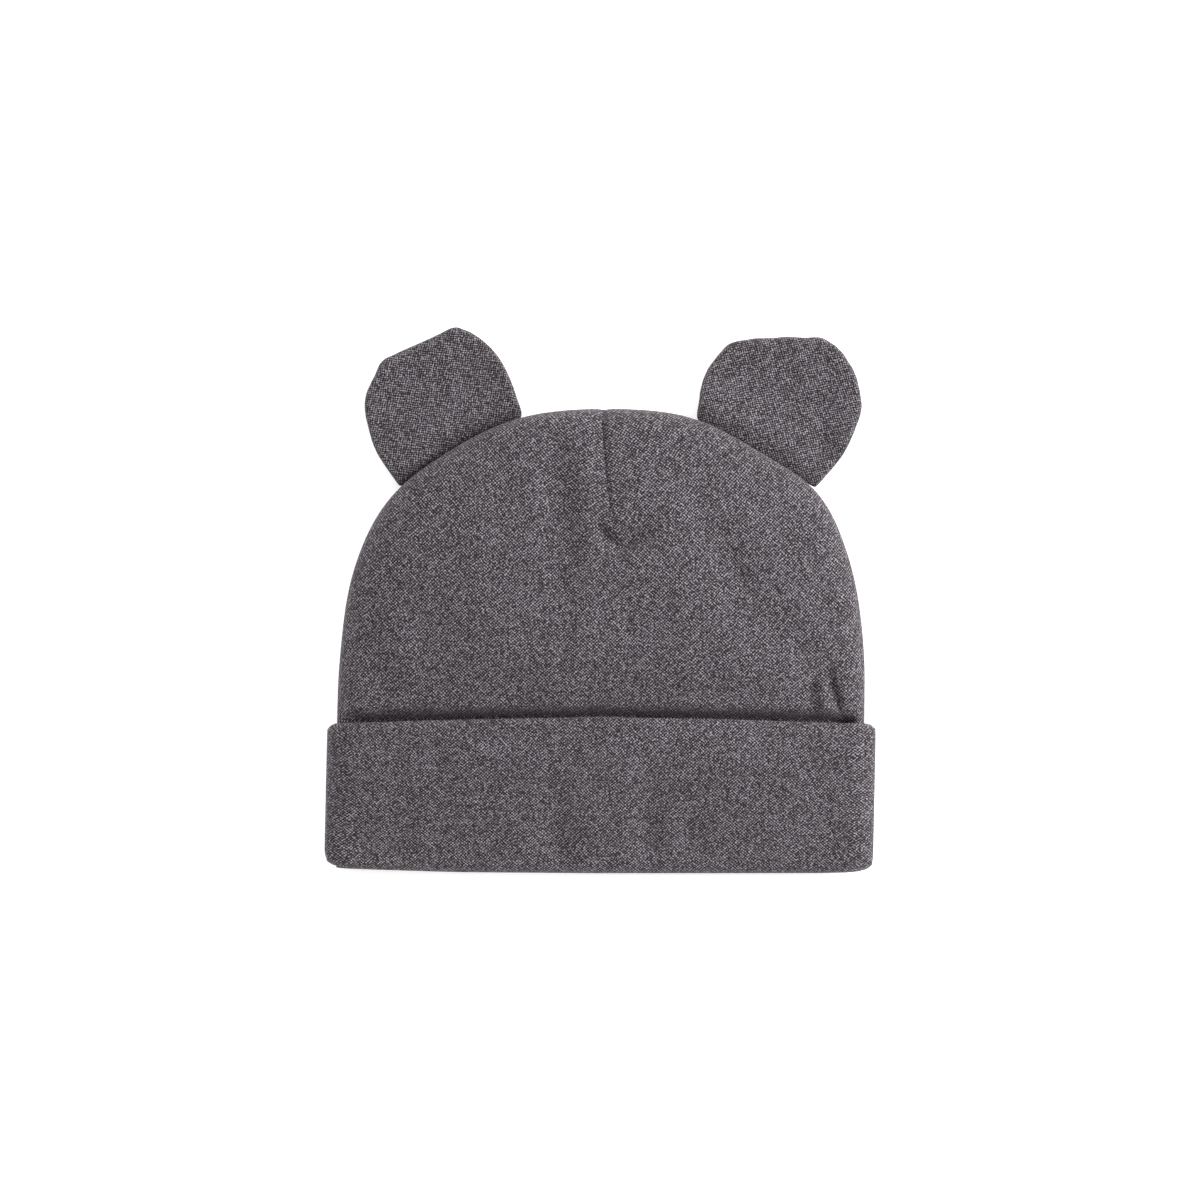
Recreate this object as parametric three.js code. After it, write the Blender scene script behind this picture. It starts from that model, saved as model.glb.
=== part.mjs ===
// Baby hat with two ears and a turned-up cuff, lying on its back on a flat surface, in millimetres.
//
// +X runs across the hat, +Y from the mouth to the top of the crown, and +Z up, away from the surface.
// The origin is on that surface, under the middle of the hat's box.
//
// The crown is a front and a back panel of doubled jersey, sewn edge to edge along the outline of the
// hat, with a sewn dart down the front. The cuff is the doubled lower end of the hat, turned up round
// both panels. Each ear is two layers sewn round the edge, and its base is caught in the crown's seam.
import * as THREE from "three";

// ---- Driving dimensions ------------------------------------------------------------------------

const CLOTH = 2.4; // thickness of a wall, which is two layers of jersey
const CUFF_CLOTH = 2.6; // the turned-up part is a little looser
const SEWN_GAP = 0.3; // clearance between two pieces that are sewn or folded together

const SEAM_Z = 7.5; // height of the seam between the front and back panels
const FRONT_ROLL = 5.5; // radius with which the front panel rolls over to the seam
const DOME_REACH = 78; // how far from the seam the front panel goes on rising
const DOME_POWER = 2.4; // how full that dome is: 1 for a straight slope, more for a fuller one
const CROWN_RISE = 12.5; // rise of the front panel above its rolled edge, in the open crown
const CUFF_RISE = 7.6; // the same where the cuff goes round it
const CUFF_STEP = 1.6; // step by which the crown bulges out of the cuff's grip
const STEP_LENGTH = 6; // length along Y over which it does
const SWELL_LENGTH = 26; // length along Y over which the crown reaches its full rise
const BACK_LIFT_LENGTH = 14; // length along Y over which the back comes down off the cuff

const CROWN_HALF = 90.6; // half the crown's width inside the cuff
const CUFF_HALF = 95.1; // half the cuff's width
const SIDE_SLACK_POWER = 4; // how closely the cuff's slack keeps to its two sides
const CUFF_LEAN = 0.022; // sideways lean of the cuff for each millimetre up it
const CUFF_TOP = -42; // height along Y at which the crown leaves the cuff
const MOUTH_END = -94; // lowest point of the cuff's fold
const FOLD_DEPTH = 3; // depth of that round fold, from the crown's lower end
const EAR_HALF = 2.2; // half the thickness of an ear
const EAR_TAPER = 0.96; // how far an ear's two faces draw together at its edge, 1 for a sharp edge
const EAR_DROOP = 24; // length over which an ear sinks from the seam to the surface
const EAR_GAP = 0.45; // clearance between an ear's base and the crown's seam

const JERSEY = { color: 0x625d61, roughness: 0.95, metalness: 0 };

// Smooth seam line of the crown above the cuff, from its left end round to its right end.
const CROWN_OUTLINE = [
  { x: -90.6, y: -42 },
  { x: -89.8, y: -22 },
  { x: -85, y: 10 },
  { x: -73, y: 34.5 },
  { x: -50, y: 52.5 },
  { x: -27, y: 63 },
  { x: 1.5, y: 65.9 },
  { x: 31, y: 63 },
  { x: 56, y: 50.3 },
  { x: 75.5, y: 36.5 },
  { x: 86.5, y: 12 },
  { x: 91, y: -18 },
  { x: 90.9, y: -42 },
];

// Where the cuff's fold and its free edge lie, from left to right.
const CUFF_EDGES = [
  { x: -96, fold: -91.6, top: -43.0 },
  { x: -84, fold: -92.5, top: -42.1 },
  { x: -50, fold: -93.6, top: -41.0 },
  { x: 0, fold: -94.0, top: -40.0 },
  { x: 45, fold: -94.0, top: -40.9 },
  { x: 82, fold: -93.9, top: -42.3 },
  { x: 96, fold: -92.9, top: -42.9 },
];

// Each ear's free edge, from the end of its base that is nearer the cuff round to the other end, and
// where the edge curls up: reach is how far the lift spreads.
const EARS = [
  {
    name: "ear_left",
    edge: [
      { x: -69, y: 39 },
      { x: -78.5, y: 54 },
      { x: -80, y: 72 },
      { x: -72, y: 84 },
      { x: -60, y: 89 },
      { x: -49, y: 94 },
      { x: -37, y: 86.5 },
      { x: -30, y: 74 },
      { x: -27.3, y: 63.2 },
    ],
    curls: [{ x: -33, y: 80, reach: 8, lift: 3.2 }],
  },
  {
    name: "ear_right",
    edge: [
      { x: 74.2, y: 38.6 },
      { x: 85, y: 52 },
      { x: 90, y: 69 },
      { x: 84, y: 86 },
      { x: 72, y: 90.3 },
      { x: 52, y: 90.3 },
      { x: 39, y: 82.5 },
      { x: 34.5, y: 72 },
      { x: 34.8, y: 62.2 },
    ],
    curls: [{ x: 85, y: 53, reach: 8, lift: 4.5 }],
  },
];

// Dents and folds of the front panel. Each is a soft ridge (height over 0) or valley (under 0) centred
// on x, y: it is along millimetres long in the direction turn, in degrees from +X, and across wide.
const FRONT_FOLDS = [
  { what: "valley beside the dart", x: -13, y: 24, turn: 92, along: 26, across: 6, height: -0.9 },
  { what: "ridge of the dart", x: 3, y: 44, turn: 94, along: 24, across: 7, height: 0.8 },
  { what: "puff at the dart's end", x: 5, y: 25, turn: 40, along: 8, across: 6, height: 1.6 },
  { what: "dent under the puff", x: 9, y: 15.5, turn: 28, along: 9, across: 3.4, height: -2.4 },
  { what: "soft ridge to the right", x: 37, y: 2, turn: 100, along: 30, across: 9, height: 0.8 },
  { what: "slack to the right", x: 60, y: -6, turn: 128, along: 26, across: 7, height: -0.7 },
  { what: "tuck above the cuff", x: 73, y: -32, turn: 84, along: 9, across: 3, height: -1.6 },
  { what: "fold between the tucks", x: 78, y: -33, turn: 96, along: 9, across: 3, height: 1.0 },
  { what: "deep tuck near the side", x: 83, y: -32, turn: 104, along: 10, across: 2.8, height: -2.2 },
];

// The dart's seam: a groove from the top of the crown to its end.
const DART = { fromX: 1.5, toX: 5, fromY: 66, toY: 22, depth: 1.4, halfWidth: 2.2 };

// ---- Curves and heights ------------------------------------------------------------------------

const { lerp, smoothstep, degToRad } = THREE.MathUtils;

// Straight interpolation in a table, by its x column.
function tableAt(table, column, x) {
  const next = table.findIndex((row) => row.x >= x);
  if (next <= 0) return table[next === 0 ? 0 : table.length - 1][column];
  const [a, b] = [table[next - 1], table[next]];
  return lerp(a[column], b[column], (x - a.x) / (b.x - a.x));
}

function smoothLine(rows) {
  const points = rows.map(({ x, y }) => new THREE.Vector3(x, y, 0));
  const curve = new THREE.CatmullRomCurve3(points, false, "centripetal");
  curve.arcLengthDivisions = 800;
  return curve;
}

const crownSeam = smoothLine(CROWN_OUTLINE);
const seamPoints = crownSeam.getSpacedPoints(400);

// How far along the crown's seam, from 0 to 1, the point nearest x, y lies.
function seamShareAt(x, y) {
  const at = new THREE.Vector3(x, y, 0);
  const gaps = seamPoints.map((p) => p.distanceTo(at));
  return gaps.indexOf(Math.min(...gaps)) / (seamPoints.length - 1);
}

// Distance from x, y to the crown's seam. Under the cuff the seam runs straight along Y.
function distanceToSeam(x, y) {
  if (y < CUFF_TOP) return Math.max(0, CROWN_HALF - Math.abs(x));
  const at = new THREE.Vector3(x, y, 0);
  return Math.min(...seamPoints.map((p) => p.distanceTo(at)));
}

// A quarter circle: 0 at the seam, radius once d is radius or more.
const rollHeight = (d, radius) => Math.sqrt(radius ** 2 - (radius - Math.min(d, radius)) ** 2);

function foldHeight(x, y) {
  return FRONT_FOLDS.reduce((sum, f) => {
    const turn = degToRad(f.turn);
    const along = (x - f.x) * Math.cos(turn) + (y - f.y) * Math.sin(turn);
    const across = (y - f.y) * Math.cos(turn) - (x - f.x) * Math.sin(turn);
    return sum + f.height * Math.exp(-((along / f.along) ** 2) - (across / f.across) ** 2);
  }, 0);
}

function dartHeight(x, y) {
  const share = (DART.fromY - y) / (DART.fromY - DART.toY);
  if (share > 1) return 0;
  const across = (x - lerp(DART.fromX, DART.toX, share)) / DART.halfWidth;
  return -DART.depth * Math.exp(-(across ** 2)) * smoothstep(1 - share, 0, 0.25);
}

function frontHeight(x, y) {
  const d = distanceToSeam(x, y);
  const swell = smoothstep(y, CUFF_TOP, CUFF_TOP + SWELL_LENGTH);
  const dome = 1 - (1 - Math.min(d / DOME_REACH, 1)) ** DOME_POWER;
  const inCrown = smoothstep(d, 0, 1.5 * FRONT_ROLL) * smoothstep(y, CUFF_TOP, CUFF_TOP + STEP_LENGTH);
  const relief = CUFF_STEP + foldHeight(x, y) + dartHeight(x, y);
  return SEAM_Z + rollHeight(d, FRONT_ROLL) + dome * lerp(CUFF_RISE, CROWN_RISE, swell) + relief * inCrown;
}

// The back panel lies on the surface, and is lifted by the cuff where that lies under it.
function backHeight(x, y) {
  const onSurface = smoothstep(y, CUFF_TOP, CUFF_TOP + BACK_LIFT_LENGTH);
  const lifted = (CUFF_CLOTH + SEWN_GAP) * (1 - onSurface);
  return SEAM_Z - rollHeight(distanceToSeam(x, y), SEAM_Z - lifted);
}

// ---- Solids ------------------------------------------------------------------------------------

function meshOf(name, points, triangles) {
  const geometry = new THREE.BufferGeometry().setFromPoints(points);
  geometry.setIndex(triangles.flat());
  geometry.computeVertexNormals();
  const mesh = new THREE.Mesh(geometry, new THREE.MeshStandardMaterial(JERSEY));
  mesh.name = name;
  return mesh;
}

// A flat net of counter-clockwise triangles: a middle point and closed rings of points round it.
function ringNet(middle, rings) {
  const count = rings[0].length;
  const faces = [];
  rings.forEach((_, k) => {
    for (let i = 0; i < count; i++) {
      const a = 1 + k * count + i;
      const b = 1 + k * count + ((i + 1) % count);
      if (k === 0) faces.push([0, a, b]);
      else faces.push([a - count, a, b], [a - count, b, b - count]);
    }
  });
  return { points: [middle, ...rings.flat()], faces };
}

// A solid with an upper and a lower face on one net, and a wall round the border of the net.
function solidOnNet(name, faces, upper, lower) {
  const count = upper.length;
  const triangles = faces.flatMap(([a, b, c]) => [[a, b, c], [a + count, c + count, b + count]]);
  const sides = new Set(faces.flatMap(([a, b, c]) => [`${a} ${b}`, `${b} ${c}`, `${c} ${a}`]));
  for (const side of sides) {
    const [a, b] = side.split(" ").map(Number);
    if (!sides.has(`${b} ${a}`)) triangles.push([a, a + count, b + count], [a, b + count, b]);
  }
  return meshOf(name, [...upper, ...lower], triangles);
}

const evenly = (from, to, count) => Array.from({ length: count + 1 }, (_, i) => lerp(from, to, i / count));

// Distances from a rolled edge at which its quarter circle is sampled, by equal angles.
const rollSteps = (radius, count) =>
  evenly(0, Math.PI / 2, count).slice(1).map((angle) => radius * (1 - Math.cos(angle)));

// Shares of the crown's width at which columns lie: close together where the sides roll over.
function columnShares(middleCount, rollCount) {
  const roll = rollSteps(FRONT_ROLL, rollCount).map((d) => d / (2 * CROWN_HALF));
  const flat = roll.pop();
  const left = [0, ...roll];
  return [...left, ...evenly(flat, 1 - flat, middleCount), ...left.map((u) => 1 - u).reverse()];
}

// Height along Y of the crown's lower end, which rests on the cuff's fold.
const mouthLine = (x) => tableAt(CUFF_EDGES, "fold", x) + FOLD_DEPTH + SEWN_GAP;

// The net of one crown panel. Above the cuff it has rings round the end of the dart, close together
// near the seam, and below that straight rows down to the mouth. outward has the points on the seam.
function crownNet({ columns, seamShares, nearEdge, shares, coveredRows }) {
  const middle = new THREE.Vector3(DART.toX, DART.toY, 0);
  const feet = [crownSeam.getPointAt(0).x, crownSeam.getPointAt(1).x];
  const border = columns.map((u) => ({
    at: new THREE.Vector3(lerp(...feet, u), CUFF_TOP, 0),
    inward: new THREE.Vector3(0, 1, 0),
  }));
  for (const share of seamShares) {
    const tangent = crownSeam.getTangentAt(share);
    border.push({ at: crownSeam.getPointAt(share), inward: new THREE.Vector3(tangent.y, -tangent.x, 0) });
  }
  const inset = (distance) =>
    border.map(({ at, inward }) => {
      const ray = middle.clone().sub(at).normalize();
      return at.clone().addScaledVector(ray, distance / ray.dot(inward));
    });
  const innermost = inset(nearEdge.at(-1));
  const net = ringNet(middle, [
    ...shares.map((share) => innermost.map((p) => middle.clone().lerp(p, share))),
    ...nearEdge.map(inset).reverse(),
    border.map(({ at }) => at),
  ]);

  const outward = new Map();
  const firstOnBorder = net.points.length - border.length;
  border.forEach(({ inward }, i) => {
    if (i >= columns.length) outward.set(firstOnBorder + i, inward.clone().negate());
  });
  const lastColumn = columns.length - 1;
  for (let r = 0; r <= coveredRows; r++) {
    const down = r / coveredRows;
    const start = r === 0 ? firstOnBorder : net.points.length;
    outward.set(start, new THREE.Vector3(-1, 0, 0));
    outward.set(start + lastColumn, new THREE.Vector3(1, 0, 0));
    if (r === 0) continue;
    const above = r === 1 ? firstOnBorder : start - columns.length;
    columns.forEach((u, c) => {
      const x = lerp(lerp(...feet, u), lerp(-CROWN_HALF, CROWN_HALF, u), down);
      net.points.push(new THREE.Vector3(x, lerp(CUFF_TOP, mouthLine(x), down), 0));
      if (c === 0) return;
      const [a, b] = [start + c - 1, start + c];
      net.faces.push([a, b, above + c], [a, above + c, above + c - 1]);
    });
  }
  return { ...net, outward };
}

// A crown panel on its net. side is 1 for the front, which faces up, and -1 for the back. Both walls
// stand upright at the seam, so that their edges lie flat against each other.
function crownPanel(name, net, heightAt, side) {
  const edgeZ = SEAM_Z + (side * SEWN_GAP) / 2;
  const outer = net.points.map(
    ({ x, y }, i) => new THREE.Vector3(x, y, net.outward.has(i) ? edgeZ : heightAt(x, y)),
  );
  const normals = meshOf("", outer, net.faces).geometry.attributes.normal;
  const inner = outer.map((point, i) => {
    const normal = new THREE.Vector3().fromBufferAttribute(normals, i).multiplyScalar(side);
    if (point.y < CUFF_TOP) normal.setY(0).normalize();
    return point.clone().addScaledVector(net.outward.get(i) ?? normal, -CLOTH);
  });
  const layers = side > 0 ? [outer, inner] : [inner, outer];
  return solidOnNet(name, net.faces, ...layers);
}

// The loop that the cuff follows: the outer face of the two panels under it, from the right side over
// the front to the left side and back under the hat, with the outward direction at each point.
function cuffLoop() {
  const half = (heightAt, side) =>
    columnShares(18, 4).map((u) => {
      const x = side * lerp(CROWN_HALF, -CROWN_HALF, u);
      return new THREE.Vector3(x, 0, heightAt(x, MOUTH_END));
    });
  const points = [...half(frontHeight, 1).slice(0, -1), ...half(backHeight, -1).slice(0, -1)];
  return points.map((point, i) => {
    const along = points[(i + 1) % points.length].clone().sub(points.at(i - 1));
    return { point, outward: new THREE.Vector3(along.z, 0, -along.x).normalize() };
  });
}

// A cut through the cuff's wall, as distances out from the crown and heights along Y: a round fold at
// the mouth, the outer face, a rounded free edge, and the inner face down to where the crown ends.
function cuffSection(slack, fold, top) {
  const face = slack + CUFF_CLOTH;
  const foldHalf = (face + CLOTH) / 2;
  const edge = CUFF_CLOTH / 2;
  const arc = ({ out, y, radius, depth, from, to, count }) =>
    evenly(degToRad(from), degToRad(to), count).map((angle) => ({
      out: out + radius * Math.cos(angle),
      y: y + depth * Math.sin(angle),
    }));
  const foot = fold + FOLD_DEPTH;
  const shoulder = top - edge;
  const below = { out: face - foldHalf, y: foot, radius: foldHalf, depth: FOLD_DEPTH };
  const above = { out: face - edge, y: shoulder, radius: edge, depth: edge };
  return [
    ...arc({ ...below, from: 180, to: 360, count: 6 }),
    { out: face, y: lerp(foot, shoulder, 0.5) },
    ...arc({ ...above, from: 0, to: 180, count: 4 }),
    { out: slack, y: foot },
  ];
}

// The cuff: one closed ring of such sections.
function cuff() {
  const sideSlack = CUFF_HALF - CROWN_HALF - CUFF_CLOTH;
  const middleY = (CUFF_TOP + MOUTH_END) / 2;
  const sections = cuffLoop().map(({ point, outward }) => {
    const sideways = Math.abs(outward.x);
    const slack = lerp(SEWN_GAP, sideSlack, sideways ** SIDE_SLACK_POWER);
    const [fold, top] = ["fold", "top"].map((column) => tableAt(CUFF_EDGES, column, point.x));
    return cuffSection(slack, fold, top).map(({ out, y }) => {
      const lean = CUFF_LEAN * (y - middleY) * sideways;
      return point.clone().addScaledVector(outward, out).add(new THREE.Vector3(lean, y, 0));
    });
  });
  const size = sections[0].length;
  const triangles = sections.flatMap((section, i) => {
    const next = ((i + 1) % sections.length) * size;
    return section.flatMap((_, k) => {
      const up = (k + 1) % size;
      const [a, b, c, d] = [i * size + k, i * size + up, next + up, next + k];
      return [[a, b, c], [a, c, d]];
    });
  });
  return meshOf("cuff", sections.flat(), triangles);
}

// Height of the middle of an ear's cloth: it leaves the seam and sinks to the surface.
function earHeight({ x, y }, curls) {
  const sunk = smoothstep(distanceToSeam(x, y), 0, EAR_DROOP);
  const lifted = curls.reduce(
    (sum, c) => sum + c.lift * Math.exp(-((x - c.x) ** 2 + (y - c.y) ** 2) / c.reach ** 2),
    0,
  );
  return lerp(SEAM_Z, EAR_HALF, sunk) + lifted;
}

// An ear: a free edge and a sewn base round a middle, with two faces that draw together at the edge.
function ear({ name, edge, curls }) {
  const free = smoothLine(edge).getSpacedPoints(26);
  const [from, to] = [free.at(-1), free[0]].map(({ x, y }) => seamShareAt(x, y));
  const base = evenly(from, to, 9).slice(1, -1).map((share) => {
    const tangent = crownSeam.getTangentAt(share);
    const outward = new THREE.Vector3(-tangent.y, tangent.x, 0);
    return crownSeam.getPointAt(share).addScaledVector(outward, EAR_GAP);
  });
  const outline = [...free, ...base];
  if (THREE.ShapeUtils.area(outline) < 0) outline.reverse();
  const middle = outline.reduce((sum, p) => sum.add(p), new THREE.Vector3()).divideScalar(outline.length);
  const shares = [0.4, 0.7, 0.86, 0.95, 1];
  const net = ringNet(middle, shares.map((share) => outline.map((p) => middle.clone().lerp(p, share))));
  const halfAt = net.points.map((_, i) => {
    const share = i === 0 ? 0 : shares[Math.floor((i - 1) / outline.length)];
    return EAR_HALF * Math.sqrt(1 - EAR_TAPER * share ** 8);
  });
  const layer = (side) =>
    net.points.map((p, i) => p.clone().setZ(Math.max(0, earHeight(p, curls) + side * halfAt[i])));
  return solidOnNet(name, net.faces, layer(1), layer(-1));
}

// ---- The hat -----------------------------------------------------------------------------------

const dartShare = seamShareAt(DART.fromX, DART.fromY);
const besideDart = [4.5, 2, 0, -2, -4.5].map((mm) => dartShare + mm / crownSeam.getLength());
const clearOfDart = (share) => Math.abs(share - dartShare) > 7 / crownSeam.getLength();
const seamShares = (count) => evenly(1, 0, count).slice(1, -1);

const frontNet = crownNet({
  columns: columnShares(16, 4),
  seamShares: [...seamShares(44).filter(clearOfDart), ...besideDart].sort((a, b) => b - a),
  nearEdge: [...rollSteps(FRONT_ROLL, 4), 10],
  shares: [0.07, 0.14, 0.22, 0.32, 0.44, 0.58, 0.72, 0.86],
  coveredRows: 3,
});
const backNet = crownNet({
  columns: columnShares(12, 3),
  seamShares: seamShares(30),
  nearEdge: [...rollSteps(SEAM_Z, 3), 14],
  shares: [0.35, 0.7],
  coveredRows: 3,
});

const hat = new THREE.Group();
hat.add(
  crownPanel("crown_front", frontNet, frontHeight, 1),
  crownPanel("crown_back", backNet, backHeight, -1),
  cuff(),
  ...EARS.map(ear),
);

export default hat;
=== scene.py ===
import math

import bpy
import numpy as np
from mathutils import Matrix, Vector
from mathutils.geometry import convex_hull_2d, delaunay_2d_cdt
from mathutils.kdtree import KDTree


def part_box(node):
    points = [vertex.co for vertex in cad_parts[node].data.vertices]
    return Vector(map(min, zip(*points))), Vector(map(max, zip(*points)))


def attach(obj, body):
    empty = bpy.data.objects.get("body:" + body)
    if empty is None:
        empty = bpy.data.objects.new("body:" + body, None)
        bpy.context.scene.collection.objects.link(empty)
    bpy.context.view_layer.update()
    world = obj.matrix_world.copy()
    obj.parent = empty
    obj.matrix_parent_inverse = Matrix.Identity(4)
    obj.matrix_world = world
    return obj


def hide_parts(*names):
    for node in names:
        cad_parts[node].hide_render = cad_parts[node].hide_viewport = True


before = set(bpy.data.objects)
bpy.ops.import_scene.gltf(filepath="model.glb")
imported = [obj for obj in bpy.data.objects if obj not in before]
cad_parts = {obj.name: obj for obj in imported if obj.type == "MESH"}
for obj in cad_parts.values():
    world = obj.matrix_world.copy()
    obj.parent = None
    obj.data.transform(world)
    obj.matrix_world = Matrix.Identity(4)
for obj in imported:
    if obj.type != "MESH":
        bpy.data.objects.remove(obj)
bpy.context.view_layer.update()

MM = 0.001

# ---- Sizes ---------------------------------------------------------------------------------------

CLOTH = 2.4  # the crown's wall, which is two layers of jersey
CUFF_CLOTH = 2.6
CUFF_SLACK = (0.3, 1.9)  # between crown and cuff, over the front and at the two sides
FOLD_DEPTH = 3.0  # depth of the cuff's round fold, up from its lowest place
TONGUE = 0.8  # the cuff's cloth goes on up inside the crown, this thick
TONGUE_LENGTH = 14.0
CUFF_EDGE_DEPTH = 3.0  # length over which the cuff's free edge rounds off
CUFF_CORNER = 3.5  # radius of its two corners, seen from above
CUFF_CORNER_PRESS = 0.85  # share by which the cloth is pressed flat at the tip of those corners
FOLD_CORNER = 6.5  # radius of the two corners at the fold
FOLD_CORNER_SHARE = (0.7, 0.25)  # how much those are rounded, at the left and at the right
CUFF_SEAM_GROOVE = 0.5  # depth and half width of the groove of the cuff's side seams
CUFF_SEAM_WIDTH = 0.9
CUFF_EDGE_LEAN = 0.7  # how far the cuff leans in towards the crown, over its last millimetres
CUFF_LEAN_LENGTH = 14.0
CUFF_LEAN = 0.022  # sideways lean of the cuff for each millimetre up it

FRONT_ROLL = 5.5  # radius with which the front panel rolls over to the seam
SEAM_TUCK = 1.3  # height over which a panel turns in again to the seam
SEAM_GROOVE = 0.75  # depth of the groove that this leaves
SEAM_GAP = 0.02  # between each panel and the middle of the seam
FREE_DEPTH = 1.5 * FRONT_ROLL  # distance from the seam at which the front is free to fold
CUFF_EDGE_DROP = 2.0  # the cuff's free edge bows up, and its usual place is this far below its top
FOLD_ROOM = 2.5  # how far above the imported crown's lower end its cloth ends, inside the fold
DOME_REACH = 78.0  # distance from the seam at which the front stops rising
DOME_POWER = 2.4
CROWN_RISE = 12.5  # height of that rise, in the crown and in the cuff
CUFF_RISE = 7.6
CUFF_STEP = 1.6  # how far the front swells up again where it comes out of the cuff
STEP_LENGTH = 6.0
SWELL_LENGTH = 26.0  # length over which the rise grows from the cuff's to the crown's
BACK_LIFT_LENGTH = 14.0  # length over which the back panel comes down from the cuff
CUFF_DIP = 7.0  # the crown dips where it comes out of the cuff, deepest under the cuff's edge
CUFF_DIP_LENGTH = 2.3
SAG_START = 11.0  # from the cuff's free edge to where the front begins to sag towards the mouth
SAG_SLOPE = 0.24  # how steeply it sags in the end
SAG_BEND = 6.0  # length over which it gets that steep

EAR_HALF = 2.2  # half an ear's thickness
EAR_BASE_HALF = 0.8  # and where it is caught in the seam
EAR_PUFF_LENGTH = 6.0  # length over which it fills out from its base
EAR_DROP_LENGTH = 3.0  # length over which its base comes back up
EAR_DROOP = 24.0  # length over which it comes down from the seam to the surface
EAR_CAUGHT = 2.5  # how far the ear's base goes into the seam
EAR_EDGE_SEAM = 0.45  # groove round the ear's edge, where its layers are sewn

WALE = 1.15  # width of one repeat of the knit
COURSE = 1.07  # its height

# Random slack of the cloth: half its height, its shortest and longest waves, and the seed.
CROWN_WAVES = (0.22, 14, 45, 3)
CUFF_WAVES = (0.2, 12, 40, 5)
EAR_WAVES = (0.15, 8, 24, 11)
WAVE_COUNT = 40

# How closely the meshes follow the cloth. A gap is the least distance between points of a net.
SEAM_STEP = 0.8
SEAM_SOFTNESS = 3.5  # how many steps the seam's corners are rounded over
FRONT_NET = 0.9
BACK_NET = 1.6
NET_GAP = 0.55  # as a share of the net's spacing
INNER_NET = 3.0
INNER_GAP = 1.6
ROLL_RINGS = 8
ROLL_GAP = 0.09
INNER_RINGS = 3
INNER_RING_GAP = 0.3
CUFF_ROUND_STEP = 1.0
CUFF_SOFTNESS = 1.5
EAR_STEP = 0.5
EAR_SOFTNESS = 1.6
EAR_NET = 0.8
EAR_GAP = 0.45
EAR_RINGS = 6
EAR_RING_GAP = 0.05
TUCK_TURNS = (25, 45, 60)  # degrees that the cloth has turned in at each ring of its edge
DART_ROWS = (0, -0.3, 0.3, -0.7, 0.7, -1.3, 1.3)  # distances from the dart's line
DART_ROW_STEP = 0.6
DART_GAP = 0.12

# The dart's seam, from its end up to the top of the crown.
DART = [
    {"y": 20.7, "x": 4.8, "depth": 0.10},
    {"y": 31.7, "x": 3.4, "depth": 0.8},
    {"y": 44.0, "x": 2.1, "depth": 1.3},
    {"y": 62.0, "x": 0.7, "depth": 1.6},
    {"y": 66.1, "x": 1.4, "depth": 1.1},
]
DART_HALF_WIDTH = 0.55
DART_TURN = 11.0  # degrees by which the knit turns towards the dart on each side
TOP_NOTCH = {"x": 1.4, "depth": 0.35, "half_width": 1.6}  # in the outline, at the dart's top

# Folds and dents. Each is a soft ridge (height over 0) or valley (under 0) centred on x, y: it is
# along millimetres long in the direction turn, in degrees from +X, and across wide.
CROWN_FOLDS = [
    # round the dart
    {"x": -14.5, "y": 33, "turn": 94, "along": 24, "across": 5.5, "height": -2.9},
    {"x": -4, "y": 30, "turn": 92, "along": 26, "across": 3.5, "height": 1.0},
    {"x": 6.0, "y": 29, "turn": 60, "along": 8, "across": 4.5, "height": 1.6},
    {"x": 2.0, "y": 21.5, "turn": -50, "along": 5, "across": 2.2, "height": -2.4},
    {"x": 12.5, "y": 21.5, "turn": 38, "along": 8.5, "across": 2.8, "height": -3.2},
    {"x": 6.6, "y": 18.6, "turn": 0, "along": 4.5, "across": 2.8, "height": -2.2},
    {"x": 8.0, "y": 11.5, "turn": 10, "along": 10, "across": 4, "height": 0.8},
    {"x": -4.0, "y": 21, "turn": 120, "along": 6, "across": 3, "height": 0.6},
    {"x": 33.4, "y": 33.7, "turn": 30, "along": 5, "across": 2.5, "height": -1.0},
    # the middle and the right
    {"x": 8.6, "y": -8, "turn": 92, "along": 12, "across": 2.8, "height": -0.9},
    {"x": 29, "y": -6, "turn": 96, "along": 28, "across": 6, "height": 1.0},
    {"x": 47, "y": 8, "turn": 118, "along": 24, "across": 6, "height": -2.1},
    {"x": 68, "y": -16, "turn": 128, "along": 14, "across": 5, "height": -1.7},
    # tucks above the cuff
    {"x": 72.8, "y": -32, "turn": 86, "along": 8, "across": 1.7, "height": -1.9},
    {"x": 77, "y": -35, "turn": 98, "along": 8, "across": 2.2, "height": 1.6},
    {"x": 80.6, "y": -32, "turn": 105, "along": 9, "across": 1.5, "height": -3.2},
    # the left
    {"x": -77, "y": -31, "turn": 100, "along": 12, "across": 7, "height": -0.9},
    {"x": -58, "y": -14, "turn": 110, "along": 16, "across": 8, "height": -0.8},
]
CUFF_FOLDS = [
    {"x": -15, "y": -84, "turn": 88, "along": 17, "across": 4.8, "height": -2.2},
    {"x": 16, "y": -80, "turn": 92, "along": 18, "across": 4.8, "height": -2.2},
    {"x": 31, "y": -82, "turn": 94, "along": 15, "across": 4.5, "height": -1.8},
    {"x": -72, "y": -86, "turn": 170, "along": 18, "across": 7, "height": -1.2},
]

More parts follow.
